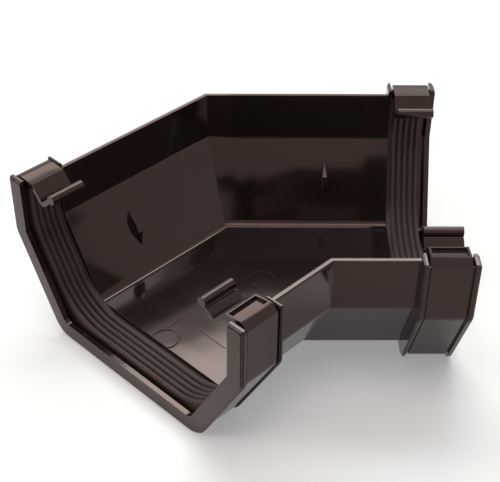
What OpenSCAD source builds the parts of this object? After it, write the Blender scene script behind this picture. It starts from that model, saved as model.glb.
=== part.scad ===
// Gutter angle for a 114 mm trapezoidal rain gutter: a 45 degree turn with a
// snap-in socket at each end. Right leg along +X, far side +Y, up +Z.
// Origin: floor level, where the centre lines of the two legs cross.

/* [Trough] */
// Half width of the trough between the upright walls
half_top = 58; // [50:0.5:66]
// Height of the rim above the trough floor
rim_h = 58; // [50:0.5:66]
// Height at which the upright wall turns into the slanted wall
bend_h = 36; // [30:0.5:42]
// Half width of the flat floor
half_floor = 38; // [32:0.5:44]
// Wall thickness of the trough
wall = 2.1; // [1.8:0.1:2.8]
// Turn of the angle in degrees
turn = 45; // [30:5:60]

/* [Sockets] */
// Distance from the crossing of the centre lines to each end face
leg_len = 78.5; // [74:0.5:100]
// Length of the socket measured back from the end face
socket_len = 21; // [20:0.5:23]
// Thickness of the end flange
flange_t = 2.3; // [1.8:0.1:2.8]
// Thickness of the thin rib on the trough side
rib_t = 1.6; // [1.4:0.1:2.4]
// How far the flanges stand out from the trough lining
flange_out = 8; // [7.4:0.1:9]
// How far the raised band of the socket stands out
band_out = 7.2; // [6.8:0.1:7.2]
// Depth of the seal recess behind the trough lining
recess = 4.4; // [3.8:0.1:4.4]
// Height of the flange tops above the trough floor over the rim
flange_rise = 2.5; // [1.5:0.5:4]

/* [Seal] */
// Number of ridges round the seal
ridges = 5; // [4:1:5]
// Distance between two ridges
ridge_pitch = 2.67; // [2.4:0.01:2.8]
// Thickness of the seal strip under the ridges
strip_t = 2.5; // [2:0.1:3]
// Clearance between the ridge crests and the trough lining
crest_gap = 0.4; // [0.2:0.1:0.8]
// Radius of the seal in the corners of the floor
seal_r = 25; // [12:1:28]

/* [Clips] */
// Length of the near clip along the leg
near_clip = 15.2; // [12:0.2:15.6]
// Length of the far clip along the leg
far_clip = 15.6; // [12:0.2:15.8]
// Thickness of the clip straps
strap_t = 1.9; // [1.6:0.1:2.2]
// How far the straps reach inward from the upright wall to the crease
strap_reach = 10; // [8:0.5:12]
// Depth of the pocket in the top of the near clip
pocket_d = 1; // [0.7:0.1:1.8]
// Radius of the bead along the edge of each release tab
bead_r = 2.05; // [1.6:0.05:2.2]

/* [Walls] */
// Radius where the floor meets the slanted walls
fillet = 5; // [3:0.5:7]
// How far the two fins stand out from the far slanted walls
fin_out = 3.2; // [2:0.2:5]

/* [Hidden] */
plastic = [0.27, 0.23, 0.21];
rubber = [0.13, 0.12, 0.12];
arc_n = 6;
lean = atan2(half_top - half_floor, bend_h);
mitre_k = tan(turn / 2);
rib_s = leg_len - socket_len;
flange_s = leg_len - flange_t;
lip = 0.4;
shell_out = band_out - 0.8;
top_z = rim_h + flange_rise;
seal_top = rim_h - 3;
reach = 300;

// Points of one rounded corner at p between the points a and c
function unit(v) = v / norm(v);
function corner(a, p, c, r) =
    let (d0 = unit(a - p), d1 = unit(c - p))
    let (half = acos(d0 * d1) / 2, run = r / tan(half))
    let (m = p + unit(d0 + d1) * r / sin(half))
    let (s0 = p + d0 * run - m, s1 = p + d1 * run - m)
    let (a0 = atan2(s0[1], s0[0]), sw = atan2(s1[1], s1[0]) - a0)
    let (w = sw > 180 ? sw - 360 : sw < -180 ? sw + 360 : sw)
    r <= 0 ? [p] : [for (i = [0 : arc_n]) m + r * [cos(a0 + w * i / arc_n), sin(a0 + w * i / arc_n)]];

// Closed outline whose corners are rounded by the radii in r
function rounded(p, r) = [
    for (i = [0 : len(p) - 1])
        each corner(p[(i + len(p) - 1) % len(p)], p[i], p[(i + 1) % len(p)], r[i])
];

// Trough outline moved outward by o at the sides and by d at the floor
function bend_z(o) = bend_h - o * tan(lean / 2);
function floor_v(o, d) = half_floor + o / cos(lean) - d * tan(lean);
function trough(o, d, z, rt, rm, rb) = rounded(
    [
        [half_top + o, z], [half_top + o, bend_z(o)], [floor_v(o, d), -d],
        [-floor_v(o, d), -d], [-half_top - o, bend_z(o)], [-half_top - o, z]
    ],
    [rt, rm, rb, rb, rm, rt]
);

// Extrudes a cross section drawn in (across, up) along the leg from s0 to s1
module along(s0, s1) {
    translate([s0, 0, 0])
        rotate([90, 0, 90])
            linear_extrude(height = s1 - s0)
                children();
}

// U-shaped slice of the socket between two outlines
module slice(s0, s1, o, d, z, rm, rb, io, id, irm, irb) {
    along(s0, s1)
        difference() {
            polygon(trough(o, d, z, 1, rm, rb));
            polygon(trough(io, id, z + 20, 0, irm, irb));
        }
}

// Outline that is true on its outer side only and runs far across on the other
function half_trough(o, d, z, rt, rm, rb) = rounded(
    [[half_top + o, z], [half_top + o, bend_z(o)], [floor_v(o, d), -d], [-reach, -d], [-reach, z]],
    [rt, rm, rb, 0, 0]
);

// Both legs as one solid: far sides intersect and near sides join, so they meet in a mitre
module bent(o, d, z, rt, rm, rb) {
    intersection() {
        far_side(o, d, z, rt, rm, rb);
        left_leg()
            far_side(o, d, z, rt, rm, rb);
        union() {
            near_side(o, d, z, rt, rm, rb);
            left_leg()
                near_side(o, d, z, rt, rm, rb);
        }
    }
}

module far_side(o, d, z, rt, rm, rb) {
    along(-reach, reach)
        polygon(half_trough(o, d, z, rt, rm, rb));
}

module near_side(o, d, z, rt, rm, rb) {
    mirror([0, 1, 0])
        far_side(o, d, z, rt, rm, rb);
}

// Trough walls of both legs with a softly rounded rim, cut off square inside the sockets
module trough_wall() {
    s = rib_s + rib_t / 2;
    intersection() {
        difference() {
            bent(wall, wall, rim_h, 0.7, 5, fillet + 1.6);
            bent(0, 0, rim_h + 20, 0, 3, fillet);
        }
        linear_extrude(height = 4 * rim_h, center = true)
            polygon([
                [s, reach], [s, -s / mitre_k],
                [s - reach * sin(turn), reach * cos(turn) - s / mitre_k], [-reach, reach]
            ]);
    }
}

// Socket of one leg: inner rib, shell, raised band and end flange
module socket() {
    sb = shell_out + 0.2;
    // inner rib closes the recess towards the trough and has a softened crest
    edge_slice(rib_s, rib_s + 0.4, 0.6, 0, 0, fillet);
    edge_slice(rib_s + 0.4, rib_s + rib_t - 0.4, 0, 0, 0, fillet);
    edge_slice(rib_s + rib_t - 0.4, rib_s + rib_t, 0.5, 0, 0, fillet);
    // shell round the seal recess
    slice(rib_s + rib_t / 2, flange_s + flange_t / 2, shell_out, sb, rim_h, 6, 8, recess, recess + 0.2, 4.5, 6);
    // end flange with the drop-in opening, softened towards the end face
    edge_slice(flange_s, leg_len - 0.9, 0, lip, 1, 4);
    edge_slice(leg_len - 0.9, leg_len - 0.4, 0.4, lip, 1, 4);
    edge_slice(leg_len - 0.4, leg_len, 1, lip, 1, 4);
    // raised band between the two grooves
    slice(clip_s(near_clip), clip_s(near_clip) + near_clip, band_out, band_out + 0.3, rim_h, 6.5, 8.5,
          shell_out - 1, sb - 1, 5, 7);
}

// Slice of a rib or flange whose rim is drawn in by c; io and id set its opening
module edge_slice(s0, s1, c, io, id, irb) {
    slice(s0, s1, flange_out - c, flange_out + 0.6 - c, top_z - c, 7, 9, io, id, 3, irb);
}

// Start of a clip of length n, centred between the rib and the flange
function clip_s(n) = (rib_s + rib_t + flange_s - n) / 2;

// Strap that falls from the slab to a crease and rises as a release tab with a bead
module strap(u0, z0) {
    uc = half_top - strap_reach;
    t = strap_t;
    polygon([
        [u0, z0], [uc + 0.8, rim_h - 3.7], [uc - 2.4, rim_h - 0.9], [uc - 3.2, rim_h - 1.1],
        [uc - 4.6, rim_h - 0.4], [uc - 5, rim_h - 1.2], [uc - 0.9, rim_h - 3.4 - 0.8 * t],
        [uc + 1.9, rim_h - 3.4 - 0.8 * t], [u0 + 1, z0 - t], [u0 + 4, z0 - t], [u0 + 4, z0 - 0.4]
    ]);
    // bead along the edge of the tab
    translate([uc - 5.4, rim_h + 0.4])
        circle(r = bead_r, $fn = 28);
    // rounded underside of the crease
    translate([uc + 0.5, rim_h - 3.2 - 0.8 * t])
        circle(r = 0.9, $fn = 16);
}

// Cross section of the near clip: sloping slab with a chamfered outer edge, and the strap
module near_section() {
    u0 = half_top - 3.8;
    u1 = half_top + band_out;
    polygon([
        [u0, top_z - 0.1], [u1 - 3.3, top_z + 1], [u1 - 2.7, top_z + 0.8], [u1, top_z - 1.8], [u1, rim_h - 8],
        [u1 - 2.4, rim_h - 8], [u1 - 2.4, rim_h - 0.4], [u0 + 0.8, rim_h - 0.4]
    ]);
    strap(u0, top_z - 0.1);
}

// Near clip with its pocket
module near_clip_part() {
    s0 = clip_s(near_clip);
    s1 = s0 + near_clip;
    u0 = half_top - 3.8;
    u1 = half_top + band_out;
    mirror([0, 1, 0])
        difference() {
            along(s0, s1)
                near_section();
            // pocket with a sloping floor, framed by thin walls
            along(s0 + 0.9, s1 - 0.9)
                polygon([
                    [u0 + 0.9, top_z - 0.1 - pocket_d], [u1 - 4.2, top_z + 0.7 - pocket_d],
                    [u1 - 4.2, top_z + 9], [u0 + 0.9, top_z + 9]
                ]);
        }
}

// Cross section of the far clip: slab with a rounded outer edge, and the strap
module far_section() {
    u0 = half_top - 3.8;
    u1 = half_top + band_out;
    z = top_z - 0.1;
    polygon([
        [u0, z], [u0 + 6, z + 0.2], [u1 - 1.8, z], [u1 - 0.6, z - 0.6], [u1, z - 1.8], [u1, rim_h - 8],
        [u1 - 2.4, rim_h - 8], [u1 - 2.4, z - strap_t], [u0 + 0.8, z - strap_t]
    ]);
    strap(u0, z);
}

// Far clip
module far_clip_part() {
    s0 = clip_s(far_clip);
    along(s0, s0 + far_clip)
        far_section();
}

// Lens-shaped fin on the far slanted wall, tallest in the middle and sharp at both ends
module fin() {
    n = 8.8;
    translate([30, half_floor, 0])
        rotate([90 - lean, 0, 0])
            translate([0, bend_h / 2 / cos(lean), 0])
                intersection() {
                    translate([0, 0, -1])
                        linear_extrude(height = fin_out + 2)
                            polygon([[0, -n], [1, -n / 3], [1, n / 3], [0, n], [-1, n / 3], [-1, -n / 3]]);
                    rotate([90, 0, 90])
                        linear_extrude(height = 8, center = true)
                            polygon([[-n, -1], [n, -1], [n, 0], [n / 4, fin_out], [-n / 4, fin_out], [-n, 0]]);
                }
}

// One socket with its clips
module leg_end() {
    socket();
    near_clip_part();
    far_clip_part();
    fin();
}

// Places its children on the left leg, mirrored through the mitre plane
module left_leg() {
    mirror([cos(turn / 2), sin(turn / 2), 0])
        children();
}

// Ring groove left by an ejector pin of radius r
module ring_mark(r) {
    translate([0, 0, -0.4])
        difference() {
            cylinder(r = r, h = 1, $fn = 48);
            translate([0, 0, -1])
                cylinder(r = r - 0.9, h = 3, $fn = 48);
        }
}

// Moulded body of both legs
module body() {
    color(plastic)
        difference() {
            union() {
                trough_wall();
                leg_end();
                left_leg()
                    leg_end();
            }
            // ring-shaped ejector marks on the floor
            translate([0.3, -1, 0])
                ring_mark(5.7);
            left_leg()
                translate([rib_s - 1.6, 0.1, 0])
                    ring_mark(5.9);
            // bare sunk panel on the floor of the left leg
            left_leg()
                translate([rib_s - 15, -21, -0.3])
                    cube([8, 26, 5]);
        }
}

// Ribbed seal of one socket; it rounds the floor corners in a wide sweep
module seal() {
    s0 = rib_s + rib_t;
    s1 = s0 + (ridges + 0.4) * ridge_pitch;
    base = recess - strip_t;
    seal_slice(s0, s1, base);
    for (i = [0 : ridges - 1]) {
        c = s0 + 2.9 + i * ridge_pitch;
        // three slices build one rounded ridge
        seal_slice(c - 0.95, c + 0.95, base - 0.7);
        seal_slice(c - 0.7, c + 0.7, base - 1.2);
        seal_slice(c - 0.4, c + 0.4, crest_gap);
    }
}

// Slice of the seal from the recess in to o from the trough lining
module seal_slice(s0, s1, o) {
    slice(s0, s1, recess, recess + 0.2, seal_top, 4.5, 6, o, o, 1.6 * seal_r, seal_r);
}

module seal_right() {
    color(rubber)
        seal();
}

module seal_left() {
    color(rubber)
        left_leg()
            seal();
}

body();
seal_left();
seal_right();
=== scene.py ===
import math

import bpy
from mathutils import Matrix, Vector


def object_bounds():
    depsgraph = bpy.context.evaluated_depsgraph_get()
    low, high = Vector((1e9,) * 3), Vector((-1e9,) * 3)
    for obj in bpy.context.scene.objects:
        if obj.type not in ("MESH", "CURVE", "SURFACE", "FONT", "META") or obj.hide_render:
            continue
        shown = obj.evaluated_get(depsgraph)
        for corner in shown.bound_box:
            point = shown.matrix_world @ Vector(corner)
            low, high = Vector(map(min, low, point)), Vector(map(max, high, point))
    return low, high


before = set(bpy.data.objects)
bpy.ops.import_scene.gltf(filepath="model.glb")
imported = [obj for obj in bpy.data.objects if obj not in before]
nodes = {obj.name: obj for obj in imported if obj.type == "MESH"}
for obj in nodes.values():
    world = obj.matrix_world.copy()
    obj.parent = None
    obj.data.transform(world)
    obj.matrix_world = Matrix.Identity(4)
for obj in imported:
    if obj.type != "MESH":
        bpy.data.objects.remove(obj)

scene = bpy.context.scene
cad_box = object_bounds()

WHITE = (1, 1, 1, 1)

# camera fitted to the photo: place in metres, angles in degrees
CAMERA_PLACE = (-0.01135, -0.3802, 0.31817)
CAMERA_TILT, CAMERA_PAN, CAMERA_ROLL = 38.056, -0.972, 0.66
FOCAL_PIXELS = 1126.6
PHOTO_WIDTH = 500
SENSOR_MM = 36
CLIP_NEAR, CLIP_FAR = 0.01, 50

# body plastic: two close browns that drift into each other along the flow marks
PLASTIC_DARK = (0.0118, 0.0080, 0.0070)
PLASTIC_LIGHT = (0.0150, 0.0102, 0.0090)
PLASTIC_ROUGHNESS = (0.07, 0.12)
PLASTIC_IOR = 1.45
PLASTIC_TINT = (1.0, 0.62, 0.53, 1)
WALL_LEAN = 0.88  # share of a normal's upward part that is kept, about 2 degrees on the walls

# seal rubber
RUBBER_DARK = (0.034, 0.0232, 0.0208)
RUBBER_LIGHT = (0.057, 0.0390, 0.0350)
RUBBER_ROUGHNESS = (0.55, 0.72)
RUBBER_SPECULAR = 0.35
RUBBER_TINT = (1.0, 0.72, 0.64, 1)

# floor: its glow grows from GLOW[0] to GLOW[1] between the two distances from the origin
FLOOR_RADIUS = 3.0
FLOOR_SIDES = 48
FLOOR_GAP = 0.0001
FLOOR_COLOR = (0.955, 0.895, 0.865, 1)
GLOW_DISTANCE = (0.1, 0.42)
GLOW = (0.28, 1.0)

# light
WORLD_STRENGTH = 0.2
LAMP_DISTANCE = 1.3
COOL = (0.89, 1.0, 1.0)
WARM = (1.0, 0.87, 0.8)
NEUTRAL = (1, 1, 1)

# mesh clean-up and rounded edges of the CAD nodes
WELD_DISTANCE = 0.000002
FLAT_ANGLE = 0.3
SMOOTH_ANGLE = 25
BEVEL_ANGLE = 28
BODY_EDGE, BODY_SEGMENTS = 0.0003, 3
SEAL_EDGE, SEAL_SEGMENTS = 0.0001, 1


# ---------------------------------------------------------------- camera
def add_camera():
    tilt, pan, roll = (math.radians(v) for v in (CAMERA_TILT, CAMERA_PAN, CAMERA_ROLL))
    right = Vector((math.cos(pan), math.sin(pan), 0))
    ahead = Vector((
        -math.sin(pan) * math.cos(tilt),
        math.cos(pan) * math.cos(tilt),
        -math.sin(tilt),
    ))
    up = right.cross(ahead)
    x = right * math.cos(roll) + up * math.sin(roll)
    y = up * math.cos(roll) - right * math.sin(roll)
    data = bpy.data.cameras.new("camera")
    data.sensor_fit = "HORIZONTAL"
    data.sensor_width = SENSOR_MM
    data.lens = FOCAL_PIXELS / PHOTO_WIDTH * SENSOR_MM
    data.clip_start, data.clip_end = CLIP_NEAR, CLIP_FAR
    cam = bpy.data.objects.new("camera", data)
    m = Matrix((x, y, -ahead)).transposed().to_4x4()
    m.translation = Vector(CAMERA_PLACE)
    cam.matrix_world = m
    scene.collection.objects.link(cam)
    scene.camera = cam


# ---------------------------------------------------------------- materials
class Tree:
    """Builds the node tree of a material or a world."""

    def __init__(self, owner, output):
        owner.use_nodes = True
        self.t = owner.node_tree
        self.t.nodes.clear()
        self.out = self.add(output)

    def add(self, kind, **values):
        """Adds a shader node and sets its sockets and settings by name."""
        n = self.t.nodes.new("ShaderNode" + kind)
        for k, v in values.items():
            if k in n.inputs:
                n.inputs[k].default_value = v
            else:
                setattr(n, k, v)
        return n

    def link(self, a, b):
        self.t.links.new(a, b)

    def noise(self, coord, scale, detail=3.0, rough=0.5):
        n = self.add("TexNoise", Scale=scale, Detail=detail, Roughness=rough)
        self.link(coord, n.inputs["Vector"])
        return n.outputs["Fac"]

    def remap(self, value, source, target):
        """Maps the range source, two numbers, onto the range target."""
        n = self.add("MapRange")
        names = ("From Min", "From Max", "To Min", "To Max")
        for name, v in zip(names, (*source, *target)):
            n.inputs[name].default_value = v
        self.link(value, n.inputs["Value"])
        return n.outputs["Result"]

    def mix(self, fac, a, b):
        """Mixes two colours."""
        n = self.add("Mix", data_type="RGBA")
        self.link(fac, n.inputs["Factor"])
        n.inputs["A"].default_value = (*a, 1)
        n.inputs["B"].default_value = (*b, 1)
        return n.outputs["Result"]

    def math(self, operation, a, b):
        n = self.add("Math", operation=operation)
        self.link(a, n.inputs[0])
        self.link(b, n.inputs[1])
        return n.outputs[0]

    def bump(self, height, strength, distance, normal=None):
        n = self.add("Bump", Strength=strength, Distance=distance)
        self.link(height, n.inputs["Height"])
        if normal is not None:
            self.link(normal, n.inputs["Normal"])
        return n.outputs["Normal"]

    def seen_ray(self):
        """1 for a ray that shows a surface directly, mirrored or through something."""
        path = self.add("LightPath")
        seen = path.outputs["Is Camera Ray"]
        for ray in ("Is Glossy Ray", "Is Transmission Ray"):
            seen = self.math("MAXIMUM", seen, path.outputs[ray])
        return seen

    def mix_shaders(self, fac, a, b):
        """Mixes two shaders and links them to the output."""
        n = self.add("MixShader")
        for i, source in enumerate((fac, a.outputs[0], b.outputs[0])):
            self.link(source, n.inputs[i])
        self.link(n.outputs[0], self.out.inputs["Surface"])


def plastic():
    """Glossy brown plastic with the faint flow marks and haze of a moulded part."""
    mat = bpy.data.materials.new("brown_plastic")
    t = Tree(mat, "OutputMaterial")
    obj = t.add("TexCoord").outputs["Object"]
    p = t.add("BsdfPrincipled")
    flow = t.noise(obj, 22, 2)
    haze = t.noise(obj, 70, 5, 0.6)
    fine = t.noise(obj, 1500, 2)
    drift = t.remap(flow, (0.35, 0.65), (0, 1))
    t.link(t.mix(drift, PLASTIC_DARK, PLASTIC_LIGHT), p.inputs["Base Color"])
    t.link(t.remap(haze, (0.3, 0.7), PLASTIC_ROUGHNESS), p.inputs["Roughness"])
    p.inputs["IOR"].default_value = PLASTIC_IOR
    p.inputs["Specular Tint"].default_value = PLASTIC_TINT
    # the slanted walls mirror as if 2 degrees steeper: this puts their dark reflection at the
    # height that it has in the photo
    steeper = t.add("VectorMath", operation="MULTIPLY")
    t.link(t.add("NewGeometry").outputs["Normal"], steeper.inputs[0])
    steeper.inputs[1].default_value = (1, 1, WALL_LEAN)
    unit = t.add("VectorMath", operation="NORMALIZE")
    t.link(steeper.outputs[0], unit.inputs[0])
    wave = t.bump(flow, 0.3, 0.001, unit.outputs[0])
    t.link(t.bump(fine, 0.05, 0.00005, wave), p.inputs["Normal"])
    t.link(p.outputs["BSDF"], t.out.inputs["Surface"])
    return mat


def rubber():
    """Matt rubber with a fine grain."""
    mat = bpy.data.materials.new("seal_rubber")
    t = Tree(mat, "OutputMaterial")
    obj = t.add("TexCoord").outputs["Object"]
    p = t.add("BsdfPrincipled")
    soft = t.noise(obj, 90, 4)
    grain = t.noise(obj, 2600, 3)
    drift = t.remap(soft, (0.3, 0.7), (0, 1))
    t.link(t.mix(drift, RUBBER_DARK, RUBBER_LIGHT), p.inputs["Base Color"])
    t.link(t.remap(soft, (0.3, 0.7), RUBBER_ROUGHNESS), p.inputs["Roughness"])
    p.inputs["Specular IOR Level"].default_value = RUBBER_SPECULAR
    p.inputs["Specular Tint"].default_value = RUBBER_TINT
    t.link(t.bump(grain, 0.25, 0.0001), p.inputs["Normal"])
    t.link(p.outputs["BSDF"], t.out.inputs["Surface"])
    return mat


def pale_floor():
    """Pale floor that keeps the part's shadow close to it and turns white further out."""
    mat = bpy.data.materials.new("floor_white")
    t = Tree(mat, "OutputMaterial")
    away = t.add("VectorMath", operation="LENGTH")
    t.link(t.add("TexCoord").outputs["Object"], away.inputs[0])
    glow = t.remap(away.outputs["Value"], GLOW_DISTANCE, GLOW)
    t.mix_shaders(
        t.math("MULTIPLY", t.seen_ray(), glow),
        t.add("BsdfDiffuse", Color=FLOOR_COLOR),
        t.add("Emission", Color=WHITE),
    )
    return mat


# ---------------------------------------------------------------- stage
def add_floor(z):
    turns = [2 * math.pi * i / FLOOR_SIDES for i in range(FLOOR_SIDES)]
    ring = [(FLOOR_RADIUS * math.cos(a), FLOOR_RADIUS * math.sin(a), z) for a in turns]
    mesh = bpy.data.meshes.new("floor")
    mesh.from_pydata(ring, [], [list(range(FLOOR_SIDES))])
    mesh.materials.append(pale_floor())
    o = bpy.data.objects.new("floor", mesh)
    scene.collection.objects.link(o)


def add_world():
    """White where it is seen, and a weaker even light."""
    world = bpy.data.worlds.new("studio")
    scene.world = world
    t = Tree(world, "OutputWorld")
    t.mix_shaders(
        t.seen_ray(),
        t.add("Background", Color=WHITE, Strength=WORLD_STRENGTH),
        t.add("Background", Color=WHITE, Strength=1.0),
    )


def add_lamp(name, azimuth, elevation, spread, radiance, tint=NEUTRAL, roll=0):
    """Softbox that the part sees at the given angles; azimuth 0 is straight behind it.

    spread is its width and height in degrees."""
    a, e = math.radians(azimuth), math.radians(elevation)
    data = bpy.data.lights.new(name, "AREA")
    data.shape = "RECTANGLE"
    data.size, data.size_y = (
        2 * LAMP_DISTANCE * math.tan(math.radians(v / 2)) for v in spread
    )
    data.energy = radiance * math.pi * data.size * data.size_y
    data.color = tint
    o = bpy.data.objects.new(name, data)
    out = Vector((math.sin(a) * math.cos(e), math.cos(a) * math.cos(e), math.sin(e)))
    o.location = out * LAMP_DISTANCE
    o.rotation_euler = (-out).to_track_quat("-Z", "Y").to_euler()
    o.rotation_euler.rotate_axis("Z", math.radians(roll))
    scene.collection.objects.link(o)


# ---------------------------------------------------------------- pieces
def smooth_group():
    """Geometry nodes that shade a mesh smooth, apart from its sharper edges."""
    g = bpy.data.node_groups.new("smooth_by_angle", "GeometryNodeTree")
    for way in ("INPUT", "OUTPUT"):
        g.interface.new_socket("Geometry", in_out=way, socket_type="NodeSocketGeometry")
    src = g.nodes.new("NodeGroupInput")
    out = g.nodes.new("NodeGroupOutput")
    drop = g.nodes.new("GeometryNodeRemoveAttribute")
    drop.inputs["Name"].default_value = "custom_normal"
    faces = g.nodes.new("GeometryNodeSetShadeSmooth")
    faces.domain = "FACE"
    edges = g.nodes.new("GeometryNodeSetShadeSmooth")
    edges.domain = "EDGE"
    edges.inputs["Shade Smooth"].default_value = False
    angle = g.nodes.new("GeometryNodeInputMeshEdgeAngle")
    sharp = g.nodes.new("FunctionNodeCompare")
    sharp.data_type = "FLOAT"
    sharp.operation = "GREATER_THAN"
    sharp.inputs[1].default_value = math.radians(SMOOTH_ANGLE)
    g.links.new(src.outputs[0], drop.inputs["Geometry"])
    g.links.new(drop.outputs[0], faces.inputs["Geometry"])
    g.links.new(faces.outputs[0], edges.inputs["Geometry"])
    g.links.new(angle.outputs[0], sharp.inputs[0])
    g.links.new(sharp.outputs[0], edges.inputs["Selection"])
    g.links.new(edges.outputs[0], out.inputs[0])
    return g


def finish_node(o, material, group, width, segments):
    """Paints a CAD node and rounds its sharp edges as a mould would."""
    o.data.materials.clear()
    o.data.materials.append(material)
    weld = o.modifiers.new("weld", "WELD")
    weld.merge_threshold = WELD_DISTANCE
    flat = o.modifiers.new("flat", "DECIMATE")
    flat.decimate_type = "DISSOLVE"
    flat.angle_limit = math.radians(FLAT_ANGLE)
    shade = o.modifiers.new("shade", "NODES")
    shade.node_group = group
    bevel = o.modifiers.new("edges", "BEVEL")
    bevel.limit_method = "ANGLE"
    bevel.angle_limit = math.radians(BEVEL_ANGLE)
    bevel.width = width
    bevel.segments = segments
    bevel.use_clamp_overlap = True
    normals = o.modifiers.new("normals", "WEIGHTED_NORMAL")
    normals.keep_sharp = True


add_camera()
scene.view_settings.view_transform = "Standard"
add_world()
add_floor(cad_box[0][2] - FLOOR_GAP)

brown = plastic()
black = rubber()
shading = smooth_group()
finish_node(nodes["body"], brown, shading, BODY_EDGE, BODY_SEGMENTS)
finish_node(nodes["seal_right"], black, shading, SEAL_EDGE, SEAL_SEGMENTS)
finish_node(nodes["seal_left"], black, shading, SEAL_EDGE, SEAL_SEGMENTS)

# name, azimuth, elevation, width and height in degrees, radiance, tint, roll
add_lamp("key", -7, 51, (42, 12), 8.4, COOL, 7)
add_lamp("top", 0, 67, (50, 11), 7, COOL)
add_lamp("overhead", 165, 76, (40, 26), 2.8)
add_lamp("back_left", -14, 34, (22, 8), 2.7, WARM)
add_lamp("back_right", 13, 31, (24, 8), 0.9, WARM)
add_lamp("left", -105, 24, (26, 18), 8)
